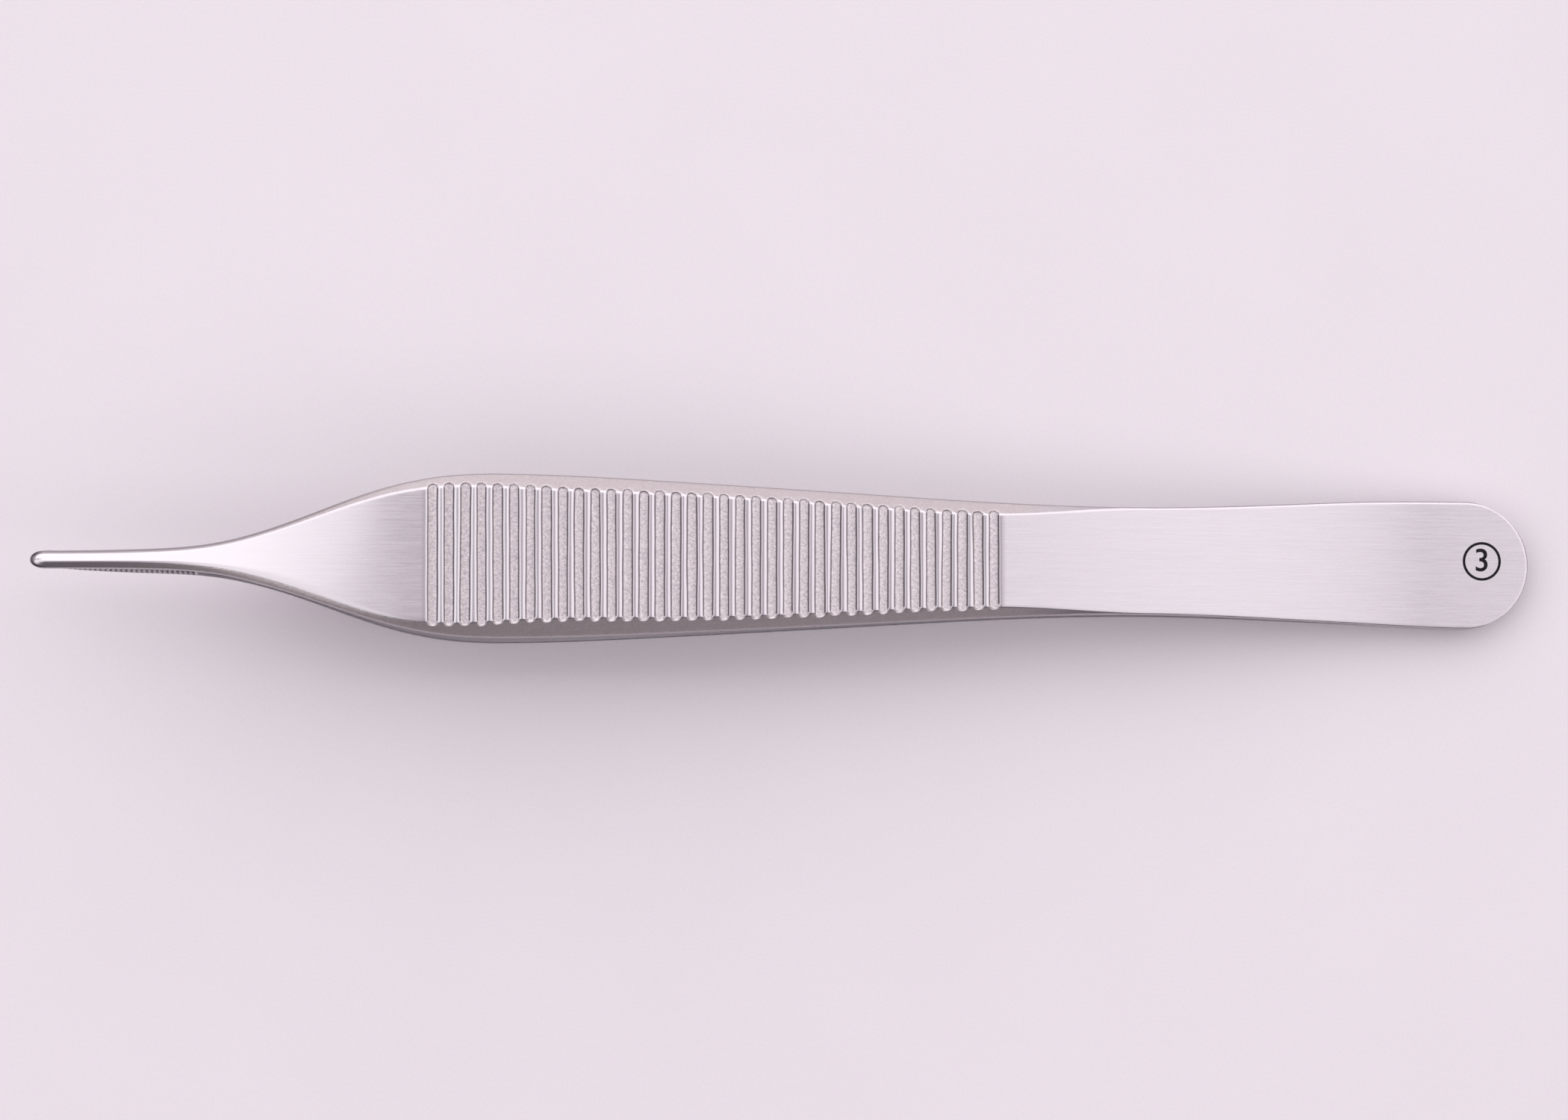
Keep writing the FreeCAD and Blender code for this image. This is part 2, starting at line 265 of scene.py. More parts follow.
def edge_distance(place, width, base, y):
    """Return how far in from the outline each point lies."""
    outline_slope = np.gradient(side_line(place), place)[:, None]
    inset = (width - np.abs(y)) / np.sqrt(1 + outline_slope**2)
    heel_inset = HEEL_RADIUS - np.hypot(np.clip(base - HEEL_CENTRE, 0, None), y)
    tip_inset = TIP_HALF * (1 - np.hypot(1 - base / TIP_ROUND, y / TIP_HALF))
    inset = np.where(base > HEEL_CENTRE, heel_inset, inset)
    inset = np.where(base < TIP_ROUND, tip_inset, inset)
    return np.clip(inset, 0, None)


def bevelled_face(base, y, inset, slope_reach):
    """Return the face's height with its bevels, against a flat face at 0."""
    softness = ridge_softness(base)
    softness = np.where(y > 0, np.minimum(softness, FAR_SOFTNESS_LIMIT), softness)
    bevelled = soft_min(0, -BEVEL_SLOPE * (slope_reach - inset), softness)
    rounding = np.clip(1 - inset / EDGE_ROUND, 0, 1)
    return bevelled - EDGE_ROUND * (1 - np.sqrt(1 - rounding**2))


beside_grip = np.array([WIDEST])
edge_height = bevelled_face(beside_grip, -1, np.array([0.0]), near_bevel(beside_grip))
print("the near edge beside the grip lies", round(-float(edge_height[0]), 2), "mm below the face")

# %% [markdown]
# ## Grooves and lands
#
# A groove is cut to a depth that depends only on the distance from its middle line: steep walls, a floor that
# sags a little, and round ends. It runs on past the ridge, so its ends bite into the bevels and leave each
# land pointed. The lands between are worn into a slight crown, which catches the light at both sides.
#
# Rolled grooves are never quite straight, so each one wanders and changes width a little. Those shifts move
# the rows themselves along the arm, so that the walls stay as sharp as they are drawn.
#
# The inner faces of the tips carry thirty small cross serrations, each a plain V.

# %% Grooves, their wander, and teeth
GROOVE_HALF = 0.44
GROOVE_WALL = 0.13
GROOVE_DEPTH = 0.30
GROOVE_SAG = 0.04
GROOVE_OVERRUN = 0.36
GROOVE_CORNER = 0.07
RISE_OUTSIDE = 2
END_SCATTER = 0.045
LAND_CROWN = 0.04
CROWN_FADE = 0.4
WANDER_SPAN = 6.0
LEAN, BEND, WIDEN, SWELL, RIPPLE = 0.022, 0.014, 0.016, 0.014, 0.008
BEND_WAVES, SWELL_WAVES, RIPPLE_WAVES, RIPPLE_START = 2.3, 3.1, 9, 3


def groove_cut(offset, y, straight):
    """Return how far below the face the grooves reach, negative outside them."""
    past = np.clip(np.abs(y) - straight, 0, None)
    inside = GROOVE_HALF - np.hypot(offset, past)
    floor = GROOVE_DEPTH + GROOVE_SAG * np.clip(1 - (offset / GROOVE_HALF)**2, 0, 1)
    return ease(inside / GROOVE_WALL) * floor - RISE_OUTSIDE * np.clip(-inside, 0, None)


def groove_wander(dice, groove, offset, y):
    """Return how far each point of the grip shifts along the arm."""
    draws = dice.normal(0, 1, (GROOVE_COUNT, 8))[np.clip(groove, 0, None)]
    swing = y / WANDER_SPAN
    bend = BEND * draws[:, 1:2] * np.sin(BEND_WAVES * swing + draws[:, 2:3])
    shift = LEAN * draws[:, :1] * swing + bend
    swell = SWELL * draws[:, 4:5] * np.sin(SWELL_WAVES * swing + draws[:, 5:6])
    spread = WIDEN * draws[:, 3:4] + swell
    spread = spread + RIPPLE * np.sin(RIPPLE_WAVES * swing + RIPPLE_START * draws[:, 6:7])
    return shift + spread * np.clip(offset / GROOVE_HALF, -1, 1)


def tooth_height(place):
    """Return how deep the cross serrations are at a place along the inner face."""
    phase = (place - TOOTH_START) / TOOTH_PITCH
    depth = TOOTH_DEPTH * (1 - 2 * np.abs(phase - np.round(phase)))
    inside = (phase > -0.5) & (phase < TOOTH_COUNT - 0.5)
    return np.where(inside, depth, 0)


depths = groove_cut(np.array([0.0, 0.35, GROOVE_HALF]), 0, 5.0)
print("groove depth at its middle, on its wall and at its rim:", np.round(depths, 2))

# %% [markdown]
# ## Where each finish lies, and the painted shade
#
# The belt, the blasting and the polishing wheel each reached other places. Four masks, stored on the mesh,
# carry that to the material, and the last of them carries painted shade:
#
# - matt: blasted steel, in the grooves and on the bevels up to the waist
# - grooved: the groove floors alone, whose grain is coarser than the bevels'
# - polished: the finger and the lands, where the wheel and the fingers rub
# - shaded: painted shade, a darker colour on narrow places that see little of the room, such as groove walls,
#   edges and the gaps between teeth

# %% Masks for the finishes and the painted shade
MATT_DEPTH, MATT_SPAN = 0.10, 0.12
BEVEL_INNER, BEVEL_SPAN = 0.96, 0.08
BEVEL_MATT_FROM, BEVEL_MATT_OVER = -4.0, 26.0
BEVEL_MATT_END, BEVEL_END_OVER = WAIST - 3, 8.0
# Painted shade: how dark the groove walls, the edges, the nose and the inner face are painted, from 0 to 1.
WALL_FROM, WALL_FADE_IN = 0.28, 0.06
WALL_TO, WALL_FADE_OUT = 0.41, 0.03
HEELWARD_WALL, TIPWARD_WALL = 0.85, 0.4
RIM_SHADE, RIM_FROM, RIM_OVER = 0.45, 0.03, 0.09
FAR_RIM_SHADE, FAR_RIM_FROM, FAR_RIM_OVER = 0.5, 0.12, 0.1
FAR_RIM_END_OVER = 12.0
NOSE_RIM_FROM, NOSE_RIM_OVER = 0.10, 0.16
NOSE_END_FROM, NOSE_END_OVER = 0.4, 1.2
TOOTH_SHADE, INNER_SHADE = 0.05, 0.45


def fade_in(value, start, over):
    """Return how far a value has come past a start, from 0 to 1 over a stretch."""
    return ease((value - start) / over)


def finish_and_shade_masks(base, y, inset, slope_reach, offset, cut, straight, in_grip):
    """Return how matt, polished and grooved each point of the outer face is and its painted shade, 0 to 1."""
    in_groove = np.where(in_grip, fade_in(cut, MATT_DEPTH, MATT_SPAN), 0)
    on_bevel = ease((slope_reach * BEVEL_INNER - inset) / BEVEL_SPAN)
    on_bevel = on_bevel * fade_in(base, BEVEL_MATT_FROM, BEVEL_MATT_OVER)
    on_bevel = on_bevel * ease((BEVEL_MATT_END - base) / BEVEL_END_OVER)
    on_finger = twist_line(base) * (base < SHOULDER)
    polished = np.maximum(np.where(in_grip, 1 - in_groove, 0), on_finger)
    # Painted shade on the groove walls, heavier on each groove's heelward wall.
    wall = fade_in(np.abs(offset), WALL_FROM, WALL_FADE_IN)
    wall = wall * (1 - fade_in(np.abs(offset), WALL_TO, WALL_FADE_OUT))
    wall = wall * np.where(offset > 0, HEELWARD_WALL, TIPWARD_WALL)
    wall = np.where(in_grip & (np.abs(y) < straight), wall, 0)
    # Painted shade along the edges, wider and darker along the far edge of the finger and the flare.
    rim = RIM_SHADE * (1 - fade_in(inset, RIM_FROM, RIM_OVER))
    far_rim = FAR_RIM_SHADE * (1 - fade_in(inset, FAR_RIM_FROM, FAR_RIM_OVER))
    far_rim = far_rim * (1 - fade_in(base, FLARE, FAR_RIM_END_OVER))
    rim = np.where(y > 0, np.maximum(rim, far_rim), rim)
    # Painted shade round the nose.
    nose_rim = 1 - fade_in(inset, NOSE_RIM_FROM, NOSE_RIM_OVER)
    nose_rim = nose_rim * (1 - fade_in(base, NOSE_END_FROM, NOSE_END_OVER))
    return {
        "matt": np.maximum(in_groove, on_bevel),
        "polished": polished,
        "grooved": in_groove,
        "shaded": np.maximum(np.maximum(wall, rim), nose_rim),
    }


def inner_shade(place):
    """Return the painted shade on the inner face and the edges: dark between teeth and half dark behind them.
    """
    between = np.clip(tooth_height(place) / TOOTH_DEPTH, 0, 1)
    toothed = place < TOOTH_START + TOOTH_COUNT * TOOTH_PITCH
    return np.where(toothed, TOOTH_SHADE + (1 - TOOTH_SHADE) * between, INNER_SHADE)


tooth_places = TOOTH_START + TOOTH_PITCH * np.array([4.5, 5.0])
print("shade on a tooth and between two teeth:", np.round(inner_shade(tooth_places), 2))

# %% [markdown]
# ## One arm as a mesh
#
# Now the parts come together. Each row of the outer face gets its height from the bevels and the grooves,
# whichever lies lower. Then the row is carried on round the arm into a closed ring: down the near edge, back
# over the inner face and up the far edge. The rings are joined by quads, and one face closes each end.

# %% Outer face, rings and mesh
EDGE_SHARES = np.array([0.25, 0.5, 0.75])
INNER_SHARES = np.array([-1.0, -0.985, -0.9, -0.5, 0.0, 0.5, 0.9, 0.985, 1.0])
EDGE_LIP = 0.06
THINNEST = 0.05


def outer_face(seed, upper):
    """Return the outer face's points, the sway at each and the masks for finish and painted shade, by rows
    and columns.
    """
    dice = np.random.default_rng(seed)
    place = np.array([row[0] for row in rows])
    groove = np.array([row[1] for row in rows])
    offset = np.array([row[2] for row in rows])[:, None]
    width = half_width(place)[:, None]
    bevels = (np.where(place < WAIST, line(place), EDGE_BREAK) for line in (far_bevel, near_bevel))
    far, near = (bevel[:, None] for bevel in bevels)
    twist = twist_line(place)[:, None] * (1 if upper else 0)
    bent = TWIST_SHIFT * twist * width
    y = columns_across(width, far, near, bent)
    base = np.repeat(place[:, None], y.shape[1], axis=1)
    inset = edge_distance(place, width, base, y)
    reach = np.where(y > 0, far, near)
    slope_reach = reach - bent * np.sign(y)
    top = bevelled_face(base, y, inset, slope_reach)
    in_grip = groove[:, None] >= 0
    straight = width - np.minimum(reach, BEVEL_LIMIT * width) + GROOVE_OVERRUN - GROOVE_HALF
    end_shift = dice.normal(0, END_SCATTER, (GROOVE_COUNT, 2))[np.clip(groove, 0, None)]
    straight = straight + np.where(y > 0, end_shift[:, :1], end_shift[:, 1:])
    cut = groove_cut(offset, y, straight)
    fade = np.clip((land_middle - np.abs(offset)) / (land_middle - GROOVE_HALF), 0, 1)
    crown = LAND_CROWN * fade**1.5 * ease((straight + GROOVE_HALF - np.abs(y)) / CROWN_FADE)
    nose_fall = np.clip(NOSE_RADIUS - base, 0, None)
    nose = NOSE_RADIUS - np.sqrt(np.clip(NOSE_RADIUS**2 - nose_fall**2, 0, None))
    height = outer_height(base) - TWIST_SLOPE * twist * y - nose
    outer = height + np.where(in_grip, soft_min(top - crown, -cut, GROOVE_CORNER), top)
    x = base + np.where(in_grip, groove_wander(dice, groove, offset, y) * fade, 0)
    masks = finish_and_shade_masks(base, y, inset, slope_reach, offset, cut, straight, in_grip)
    sway = heel_sway(base) + (upper_sway if upper else lower_sway)(base)
    return x, y, sway, outer, masks


def close_rings(x, y, sway, outer):
    """Carry each row on round the arm and return the rings' points."""
    place = x.mean(axis=1)[:, None]
    inner = np.where(place < WELD, inner_height(place), 0.0) + tooth_height(place)
    far_top, near_top = outer[:, :1], outer[:, -1:]
    far_z, near_z = (top - (top - inner) * EDGE_SHARES * (1 - EDGE_LIP) for top in (far_top, near_top))
    drop = np.maximum(np.minimum(far_top, near_top) - inner, THINNEST)
    inner_z = inner + EDGE_LIP * (np.abs(INNER_SHARES) == 1) * np.minimum(1, drop)
    far_y, near_y = (np.repeat(edge, len(EDGE_SHARES), axis=1) for edge in (y[:, :1], y[:, -1:]))
    inner_y = np.abs(y[:, :1]) * INNER_SHARES
    ring_y = np.concatenate([y, near_y, inner_y, far_y], axis=1) + sway[:, :1]
    ring_z = np.concatenate([outer, near_z, inner_z, far_z[:, ::-1]], axis=1)
    ring_x = np.concatenate([x, np.repeat(place, ring_y.shape[1] - y.shape[1], axis=1)], axis=1)
    return ring_x, ring_y, ring_z


def build_arm(name, seed, upper):
    """Return an arm as a mesh object, with x from its middle and z from the plane between the arms."""
    x, y, sway, outer, masks = outer_face(seed, upper)
    ring_x, ring_y, ring_z = close_rings(x, y, sway, outer)
    points = np.stack([ring_x - LENGTH / 2, ring_y, ring_z if upper else -ring_z], axis=-1) * MM
    row_count, ring_size = ring_x.shape
    start = np.arange(row_count - 1)[:, None] * ring_size
    here = np.arange(ring_size)[None, :]
    after = (here + 1) % ring_size
    corners = [start + here, start + after, start + ring_size + after, start + ring_size + here]
    quads = np.stack(corners, axis=-1).reshape(-1, 4)
    first_ring = np.arange(ring_size)
    last_ring = first_ring + (row_count - 1) * ring_size
    caps = [first_ring[::-1].tolist(), last_ring.tolist()]
    if upper:
        quads = quads[:, ::-1]
        caps = [cap[::-1] for cap in caps]
    mesh = bpy.data.meshes.new(name)
    mesh.from_pydata(points.reshape(-1, 3).tolist(), [], quads.tolist() + caps)
    # The inner face and the sides get only painted shade, no matt, polished or grooved finish.
    shade = np.repeat(inner_shade(x.mean(axis=1))[:, None], ring_size - x.shape[1], axis=1)
    for title, mask in masks.items():
        values = np.concatenate([mask, shade if title == "shaded" else 0 * shade], axis=1)
        layer = mesh.attributes.new(title, "FLOAT", "POINT")
        layer.data.foreach_set("value", values.reshape(-1).astype(np.float32))
    mesh.polygons.foreach_set("use_smooth", [True] * len(mesh.polygons))
    mesh.validate()
    arm = bpy.data.objects.new(name, mesh)
    bpy.context.scene.collection.objects.link(arm)
    return arm


ring_points = 2 * (len(from_edge) + len(to_middle)) - 1 + 2 * len(EDGE_SHARES) + len(INNER_SHARES)
print("points round each ring:", ring_points)

# %% [markdown]
# ## Laying the arms where the CAD says
#
# The arms are drawn lying along x. The record's flat mount on the heel tells how far the pair is tilted as it
# rests on its lower arm, and each CAD node's box tells where that arm ends up.

# %% Build and place both arms
heel_flat = next(mount for mount in frame["record"]["mounts"] if mount["name"] == "heel_flat")
tilt = math.atan2(heel_flat["axis"][0], heel_flat["axis"][2])


def lay_down(arm, node):
    """Tilt the arm as the pair rests, move it into its CAD node's box and return that move."""
    arm.data.transform(Matrix.Rotation(tilt, 4, "Y"))
    points = np.array([vertex.co for vertex in arm.data.vertices])
    low, high = (np.array(corner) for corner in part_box(node))
    move = Vector((low + high - points.min(0) - points.max(0)) / 2)
    arm.data.transform(Matrix.Translation(move))
    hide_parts(node)
    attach(arm, "root")
    return move


top_arm = build_arm("upper_arm_steel", 7, upper=True)
upper_move = lay_down(top_arm, "upper_arm")
under_arm = build_arm("lower_arm_steel", 23, upper=False)
lay_down(under_arm, "lower_arm")
print("tilt:", round(math.degrees(tilt), 2), "deg, faces an arm:", len(top_arm.data.polygons))

# %% [markdown]
# ## Etched mark
#
# On the flat of the heel is a small black mark about 3 mm across, etched by laser. Here it is a plain ring
# with a plain numeral. An etched mark has no thickness to see, so both are flat shapes a hundredth of a
# millimetre over the face: the ring is a strip between two circles, and the numeral is a text object turned
# into a mesh.

# %% Ring and numeral on the heel
MARK_PLACE = 116.19
MARK_SIDE = 0.16
MARK_RADIUS = 1.46
MARK_LINE = 0.21
MARK_LIFT = 0.012
NUMERAL_HEIGHT = 2.6
NUMERAL_THICKER = 0.02

mark_spot = Vector((MARK_PLACE - LENGTH / 2, MARK_SIDE, HEEL_THICK + MARK_LIFT)) * MM
as_it_lies = Matrix.Translation(upper_move) @ Matrix.Rotation(tilt, 4, "Y")
face_frame = as_it_lies @ Matrix.Translation(mark_spot)


def etched(name, mesh):
    """Return the mesh as a piece on the heel's flat face."""
    mesh.transform(face_frame)
    piece = bpy.data.objects.new(name, mesh)
    bpy.context.scene.collection.objects.link(piece)
    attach(piece, "root")
    return piece


def ring_mesh(radius, line, sides=96):
    """Return a flat ring that faces up."""
    turns = np.linspace(0, 2 * math.pi, sides, endpoint=False)
    radii = (radius - line / 2, radius + line / 2)
    points = [(r * math.cos(a) * MM, r * math.sin(a) * MM, 0) for r in radii for a in turns]
    faces = [(i, (i + 1) % sides, sides + (i + 1) % sides, sides + i) for i in range(sides)]
    mesh = bpy.data.meshes.new("mark_ring")
    mesh.from_pydata(points, [], [face[::-1] for face in faces])
    return mesh


def numeral_mesh(text, height):
    """Return the text as a flat mesh, its strokes a little thickened."""
    curve = bpy.data.curves.new("mark_numeral", "FONT")
    curve.body = text
    curve.size = height * MM
    curve.align_x = "CENTER"
    curve.align_y = "CENTER"
    curve.offset = NUMERAL_THICKER * MM
    holder = bpy.data.objects.new("mark_numeral_text", curve)
    bpy.context.scene.collection.objects.link(holder)
    evaluated = holder.evaluated_get(bpy.context.evaluated_depsgraph_get())
    mesh = bpy.data.meshes.new_from_object(evaluated)
    bpy.data.objects.remove(holder)
    return mesh


mark_ring = etched("mark_ring", ring_mesh(MARK_RADIUS, MARK_LINE))
mark_numeral = etched("mark_numeral", numeral_mesh("3", NUMERAL_HEIGHT))
print("mark faces:", len(mark_ring.data.polygons) + len(mark_numeral.data.polygons))

# %% [markdown]
# ## Satin steel
#
# The plain faces were brushed lengthwise on a belt, so they carry fine straight scratches. The groove floors
# and the bevels beside the grip were blasted and stay matt and a little warmer. The brushing is noise
# stretched along the arm, and the blasted grain is fine even noise. Each is a node group of its own, since
# the mark and the paper use the grain too.

# %% Node groups for brushing and grain
FINE_BRUSHING, LONG_BRUSHING = (480, 12000, 400), (90, 6500, 300)
FINE_GRAIN, COARSE_GRAIN = (9000, 9000, 9000), (4600, 4600, 4600)
FINE_SHARE, LONG_SHARE, GRAIN_SHARE = 0.6, 0.4, 0.5
NOISE_DETAIL = 2.0
GRAIN_CONTRAST, GRAIN_OFFSET = 3.4, -1.2


def new_group(name, inputs, outputs):
    """Return an empty shader node group with float inputs and the named outputs."""
    group = bpy.data.node_groups.new(name, "ShaderNodeTree")
    for title, value in inputs:
        socket = group.interface.new_socket(title, in_out="INPUT", socket_type="NodeSocketFloat")
        socket.default_value = value
    for title in outputs:
        group.interface.new_socket(title, in_out="OUTPUT", socket_type="NodeSocketFloat")
    return group, group.nodes.new("NodeGroupInput"), group.nodes.new("NodeGroupOutput")


def noise_node(tree, scale_xyz, detail, vector):
    """Add noise stretched by a scale along each axis and return its height socket."""
    mapping = tree.nodes.new("ShaderNodeMapping")
    mapping.inputs["Scale"].default_value = scale_xyz
    noise = tree.nodes.new("ShaderNodeTexNoise")
    noise.inputs["Scale"].default_value = 1.0
    noise.inputs["Detail"].default_value = detail
    tree.links.new(vector, mapping.inputs["Vector"])
    tree.links.new(mapping.outputs[0], noise.inputs["Vector"])
    return noise.outputs["Fac"]


def math_node(tree, operation, a, b):
    """Add one step of arithmetic on two numbers or sockets and return its result."""
    node = tree.nodes.new("ShaderNodeMath")
    node.operation = operation
    for socket, value in zip(node.inputs, (a, b)):
        if isinstance(value, (int, float)):
            socket.default_value = value
        else:
            tree.links.new(value, socket)
    return node.outputs[0]


def build_brushing():
    """Lengthwise scratches: fine ones all over, and a few longer and deeper."""
    group, ins, outs = new_group("lengthwise_brushing", [("Strength", 1.0)], ["Height", "Streaks"])
    where = group.nodes.new("ShaderNodeTexCoord").outputs["Object"]
    fine = math_node(group, "MULTIPLY", noise_node(group, FINE_BRUSHING, NOISE_DETAIL, where), FINE_SHARE)
    long = math_node(group, "MULTIPLY", noise_node(group, LONG_BRUSHING, NOISE_DETAIL, where), LONG_SHARE)
    both = math_node(group, "ADD", fine, long)
    group.links.new(math_node(group, "MULTIPLY", both, ins.outputs["Strength"]), outs.inputs["Height"])
    group.links.new(both, outs.inputs["Streaks"])
    return group


def build_grain():
    """Blasted grain: small even pits with a little larger mottling."""
    group, ins, outs = new_group("blasted_grain", [("Strength", 1.0)], ["Height", "Mottle"])
    where = group.nodes.new("ShaderNodeTexCoord").outputs["Object"]
    fine = math_node(group, "MULTIPLY", noise_node(group, FINE_GRAIN, NOISE_DETAIL, where), GRAIN_SHARE)
    coarse = math_node(group, "MULTIPLY", noise_node(group, COARSE_GRAIN, NOISE_DETAIL, where), GRAIN_SHARE)
    both = math_node(group, "MULTIPLY", math_node(group, "ADD", fine, coarse), GRAIN_CONTRAST)
    both = math_node(group, "ADD", both, GRAIN_OFFSET)
    group.links.new(math_node(group, "MULTIPLY", both, ins.outputs["Strength"]), outs.inputs["Height"])
    group.links.new(both, outs.inputs["Mottle"])
    return group


brushing = build_brushing()
grain = build_grain()
print("node groups:", brushing.name, grain.name)

# %% [markdown]
# ## One steel with every finish
#
# One material holds every finish and the painted shade, and the masks stored on the mesh say where each
# belongs. Colour and roughness mix from brushed to polished steel and from there to blasted steel, which is
# warmer on the bevels and of stronger grain in the grooves. Shaded places are painted towards a dark grey,
# which is painted shade. Metal takes all its brightness from what it reflects, so apart from the painted
# shade the colours stay near that of stainless steel and the lamps do the rest.

# %% Steel and etching
BRUSHED_DARK, BRUSHED_LIGHT = (0.65, 0.615, 0.65, 1), (0.83, 0.79, 0.83, 1)
BEVEL_DARK, BEVEL_LIGHT = (0.655, 0.60, 0.605, 1), (0.75, 0.69, 0.685, 1)
FLOOR_DARK, FLOOR_LIGHT = (0.53, 0.485, 0.52, 1), (0.87, 0.81, 0.81, 1)
ETCH_DARK, ETCH_LIGHT = (0.006, 0.005, 0.008, 1), (0.024, 0.020, 0.027, 1)
POLISHED_STEEL = (0.76, 0.725, 0.76, 1)
# Painted shade: the dark grey that the shaded places are painted towards.
SHADED_STEEL = (0.10, 0.09, 0.10, 1)
BRUSHED_ROUGHNESS, POLISHED_ROUGHNESS, MATT_ROUGHNESS = (0.20, 0.36), 0.22, 0.42
ETCH_ROUGHNESS, ETCH_SHEEN = (0.5, 0.8), 0.1
POLISHED_LINES, GRIT_HEIGHT = 0.02, 2.0
BUMP_STRENGTH, BUMP_DISTANCE = 0.22, 0.02


def mix_node(tree, data_type, factor, first, second):
    """Mix two constants or sockets by a factor and return the result."""
    node = tree.nodes.new("ShaderNodeMix")
    node.data_type = data_type
    for title, value in (("Factor", factor), ("A", first), ("B", second)):
        if isinstance(value, (int, float, tuple)):
            node.inputs[title].default_value = value
        else:
            tree.links.new(value, node.inputs[title])
    return node.outputs["Result"]


def colour_mix(tree, factor, first, second):
    """Mix two colours."""
    return mix_node(tree, "RGBA", factor, first, second)


def number_mix(tree, factor, first, second):
    """Mix two numbers."""
    return mix_node(tree, "FLOAT", factor, first, second)


def place_group(tree, group, strength):
    """Put a node group into a material and return its node."""
    node = tree.nodes.new("ShaderNodeGroup")
    node.node_tree = group
    node.inputs["Strength"].default_value = strength
    return node


def attribute(tree, name):
    """Return a mask stored on the mesh as a socket."""
    node = tree.nodes.new("ShaderNodeAttribute")
    node.attribute_name = name
    return node.outputs["Fac"]


def satin_steel():
    """Brushed stainless steel with polished lands, blasted grooves, blasted bevels and painted shade."""
    material = bpy.data.materials.new("satin_steel")
    material.use_nodes = True
    tree = material.node_tree
    steel = tree.nodes["Principled BSDF"]
    steel.inputs["Metallic"].default_value = 1.0
    brush = place_group(tree, brushing, 1.0)
    blast = place_group(tree, grain, 1.0)
    matt, polished = attribute(tree, "matt"), attribute(tree, "polished")
    grooved, shaded = attribute(tree, "grooved"), attribute(tree, "shaded")
    brushed = colour_mix(tree, brush.outputs["Streaks"], BRUSHED_DARK, BRUSHED_LIGHT)
    plain = colour_mix(tree, polished, brushed, POLISHED_STEEL)
    bevel = colour_mix(tree, blast.outputs["Mottle"], BEVEL_DARK, BEVEL_LIGHT)
    floor = colour_mix(tree, blast.outputs["Mottle"], FLOOR_DARK, FLOOR_LIGHT)
    blasted = colour_mix(tree, grooved, bevel, floor)
    open_face = colour_mix(tree, matt, plain, blasted)
    # Painted shade: the shaded mask darkens the colour towards a dark grey.
    tree.links.new(colour_mix(tree, shaded, open_face, SHADED_STEEL), steel.inputs["Base Color"])
    smooth_side = number_mix(tree, brush.outputs["Streaks"], *BRUSHED_ROUGHNESS)
    smooth_side = number_mix(tree, polished, smooth_side, POLISHED_ROUGHNESS)
    tree.links.new(number_mix(tree, matt, smooth_side, MATT_ROUGHNESS), steel.inputs["Roughness"])
    line_share = number_mix(tree, polished, 1.0, POLISHED_LINES)
    lines = math_node(tree, "MULTIPLY", brush.outputs["Height"], line_share)
    grit = math_node(tree, "MULTIPLY", blast.outputs["Height"], GRIT_HEIGHT)
    bump = tree.nodes.new("ShaderNodeBump")
    bump.inputs["Strength"].default_value = BUMP_STRENGTH
    bump.inputs["Distance"].default_value = BUMP_DISTANCE * MM
    tree.links.new(number_mix(tree, matt, lines, grit), bump.inputs["Height"])
    tree.links.new(bump.outputs["Normal"], steel.inputs["Normal"])
    return material


def etch_black():
    """Laser-blackened steel: dark, rough and faintly grained."""
    material = bpy.data.materials.new("etch_black")
    material.use_nodes = True
    tree = material.node_tree
    black = tree.nodes["Principled BSDF"]
    black.inputs["Specular IOR Level"].default_value = ETCH_SHEEN
    blast = place_group(tree, grain, 1.0)
    shade = colour_mix(tree, blast.outputs["Mottle"], ETCH_DARK, ETCH_LIGHT)
    tree.links.new(shade, black.inputs["Base Color"])
    roughness = number_mix(tree, blast.outputs["Mottle"], *ETCH_ROUGHNESS)
    tree.links.new(roughness, black.inputs["Roughness"])
    return material


steel = satin_steel()
for arm in (top_arm, under_arm):
    arm.data.materials.append(steel)
black = etch_black()
for piece in (mark_ring, mark_numeral):
    piece.data.materials.clear()
    piece.data.materials.append(black)
print("materials:", steel.name, black.name)

# %% [markdown]
# ## Table
#
# The forceps lie on pale, faintly lilac paper with a fine grain. It is a single large square, so that its
# edge stays out of sight from any side.

# %% Paper on the table
TABLE_REACH = 4.0
PAPER_DARK, PAPER_LIGHT = (0.825, 0.78, 0.82, 1), (0.89, 0.845, 0.885, 1)
PAPER_CLOUDS, CLOUD_DETAIL = (60, 60, 60), 4.0
PAPER_ROUGHNESS, PAPER_SHEEN = 0.9, 0.1


def paper_table():
    """Return the square of paper that the forceps lie on."""
    mesh = bpy.data.meshes.new("paper_table")
    corners = [(x * TABLE_REACH, y * TABLE_REACH, 0) for x, y in ((-1, -1), (1, -1), (1, 1), (-1, 1))]
    mesh.from_pydata(corners, [], [(0, 1, 2, 3)])
    table = bpy.data.objects.new("paper_table", mesh)
    bpy.context.scene.collection.objects.link(table)
    material = bpy.data.materials.new("pale_paper")
    material.use_nodes = True
    tree = material.node_tree
    paper = tree.nodes["Principled BSDF"]
    paper.inputs["Roughness"].default_value = PAPER_ROUGHNESS
    paper.inputs["Specular IOR Level"].default_value = PAPER_SHEEN
    blast = place_group(tree, grain, 1.0)
    where = tree.nodes.new("ShaderNodeTexCoord").outputs["Object"]
    cloud = noise_node(tree, PAPER_CLOUDS, CLOUD_DETAIL, where)
    both = number_mix(tree, 0.5, blast.outputs["Mottle"], cloud)
    tone = colour_mix(tree, both, PAPER_DARK, PAPER_LIGHT)
    tree.links.new(tone, paper.inputs["Base Color"])
    mesh.materials.append(material)
    return table


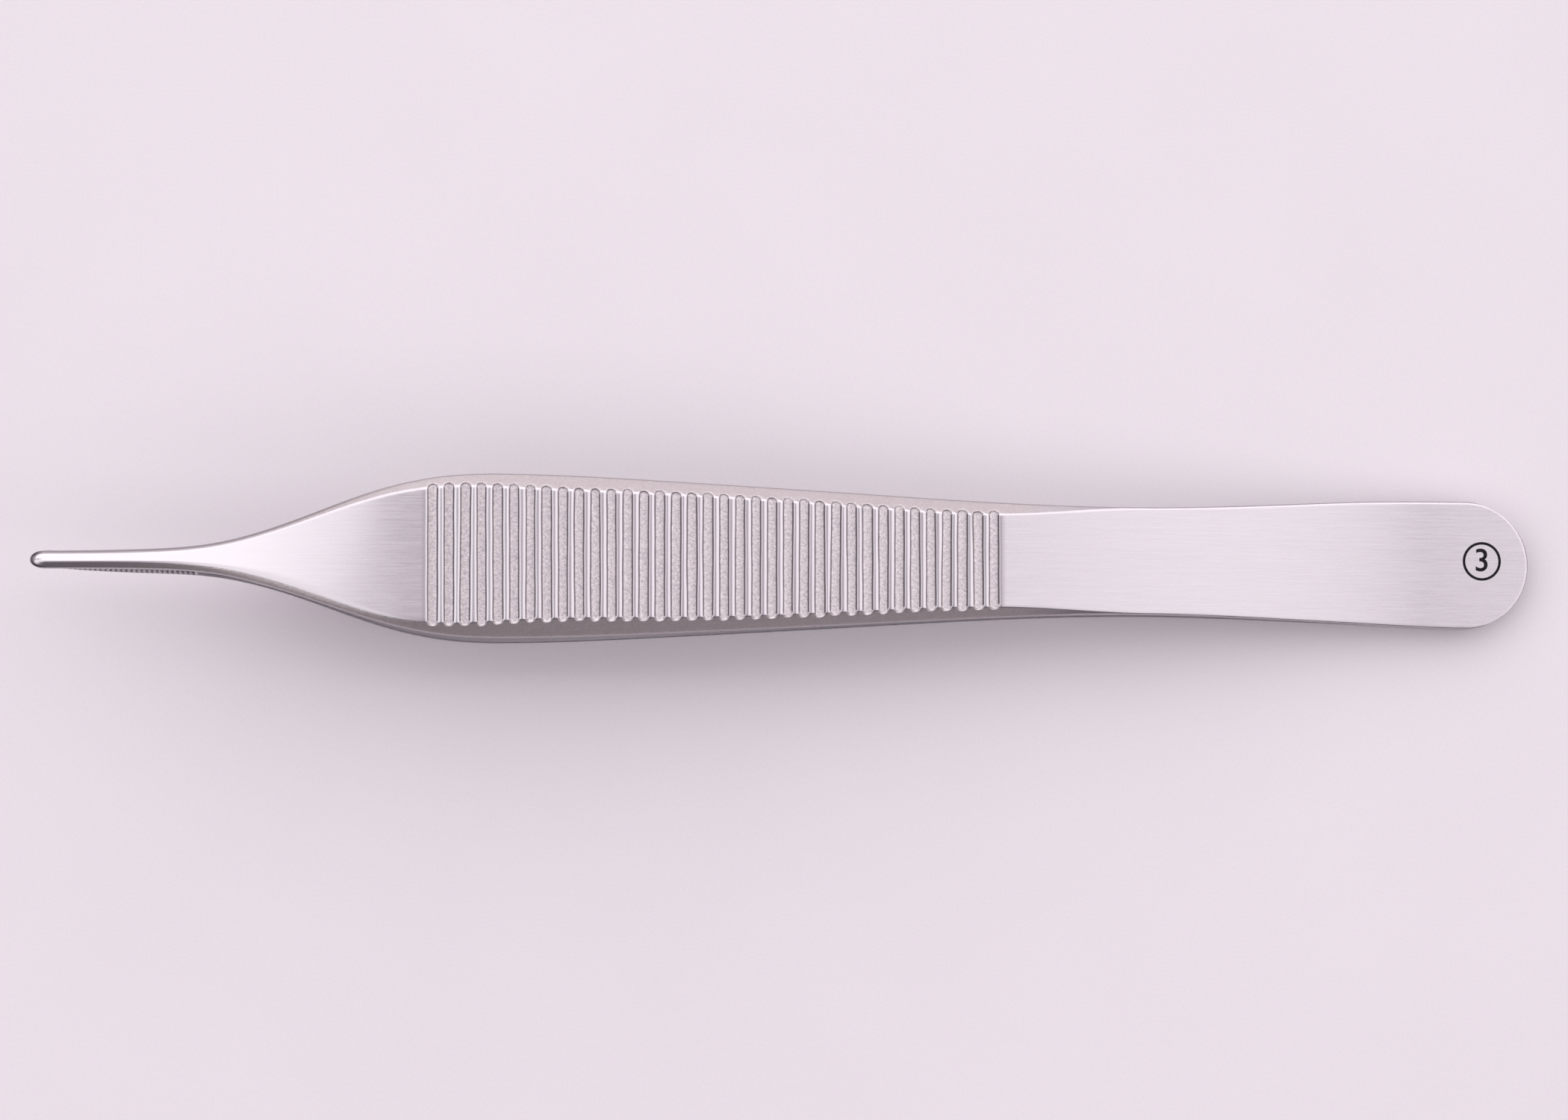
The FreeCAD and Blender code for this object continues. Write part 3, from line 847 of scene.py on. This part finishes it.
table = paper_table()
print("table:", table.name, "reach:", TABLE_REACH, "m")

# %% [markdown]
# ## Light
#
# Steel shows whatever stands round it, so the lamps are as wide as windows: a large soft panel behind the
# object and one at each end, with nothing bright straight above, where the camera stands. Each panel is given
# by the angles it fills, seen from the object. Faces that lean towards a panel turn white, and level faces
# stay greyer. The room is dark in front and lighter behind, so the near bevels look dark. A fourth and weaker
# panel straight above lights the paper alone, because the steel doesn't mirror it.

# %% Lamps and room
CEILING = 0.8
ROOM_COLOUR = (0.96, 0.86, 0.94, 1)
ROOM_FADE = {"From Min": -0.98, "From Max": -0.25, "To Min": 0.1, "To Max": 0.5}


def soft_panel(name, x_angles, y_angles, radiance, in_steel=True):
    """Add a soft ceiling lamp that fills the given angles from the vertical, as bright as told."""
    left, right, near, far = (CEILING * math.tan(math.radians(angle)) for angle in x_angles + y_angles)
    lamp = bpy.data.lights.new(name, "AREA")
    lamp.shape = "RECTANGLE"
    lamp.size, lamp.size_y = right - left, far - near
    lamp.energy = radiance * math.pi * lamp.size * lamp.size_y
    holder = bpy.data.objects.new(name, lamp)
    holder.location = (left + right) / 2, (near + far) / 2, CEILING
    holder.visible_glossy = in_steel
    bpy.context.scene.collection.objects.link(holder)
    return holder


soft_panel("back_panel", (-60, 60), (10, 76), 0.93)
soft_panel("right_panel", (21, 77), (-45, 10), 0.66)
soft_panel("left_panel", (-77, -13.2), (-45, 10), 0.65)
soft_panel("paper_fill", (-45, 45), (-45, 45), 0.2, in_steel=False)

world = bpy.data.worlds.new("grey_room")
bpy.context.scene.world = world
world.use_nodes = True
room = world.node_tree.nodes["Background"]
room.inputs["Color"].default_value = ROOM_COLOUR
direction = world.node_tree.nodes.new("ShaderNodeTexCoord").outputs["Generated"]
apart = world.node_tree.nodes.new("ShaderNodeSeparateXYZ")
fade = world.node_tree.nodes.new("ShaderNodeMapRange")
fade.interpolation_type = "SMOOTHSTEP"
for title, value in ROOM_FADE.items():
    fade.inputs[title].default_value = value
world.node_tree.links.new(direction, apart.inputs[0])
world.node_tree.links.new(apart.outputs["Y"], fade.inputs["Value"])
world.node_tree.links.new(fade.outputs["Result"], room.inputs["Strength"])
print("lamps:", [lamp.name for lamp in bpy.data.lights])

# %% [markdown]
# ## Camera
#
# The camera looks down, leaning a little towards the near side, so that the lower arm's edge shows under the
# upper one. Its distance is what fits the photograph's perspective, and its focal length what fits the size.

# %% Camera
FOCUS_PIXELS = 6584
IMAGE_WIDTH = 2100
CAMERA_DISTANCE = 400.0
CAMERA_LEAN = math.radians(2.9)
AIM = Vector((-0.23, 0.4, 0.0)) * MM

eye = bpy.data.cameras.new("camera")
eye.sensor_fit = "HORIZONTAL"
eye.sensor_width = 36.0
eye.lens = eye.sensor_width * FOCUS_PIXELS / IMAGE_WIDTH
eye.clip_start = 0.01
camera = bpy.data.objects.new("camera", eye)
camera.location = AIM + CAMERA_DISTANCE * MM * Vector((0, -math.sin(CAMERA_LEAN), math.cos(CAMERA_LEAN)))
camera.rotation_euler = (CAMERA_LEAN, 0, 0)
bpy.context.scene.collection.objects.link(camera)
bpy.context.scene.camera = camera
bpy.context.scene.view_settings.view_transform = "Standard"
print("lens:", round(eye.lens, 1), "mm")
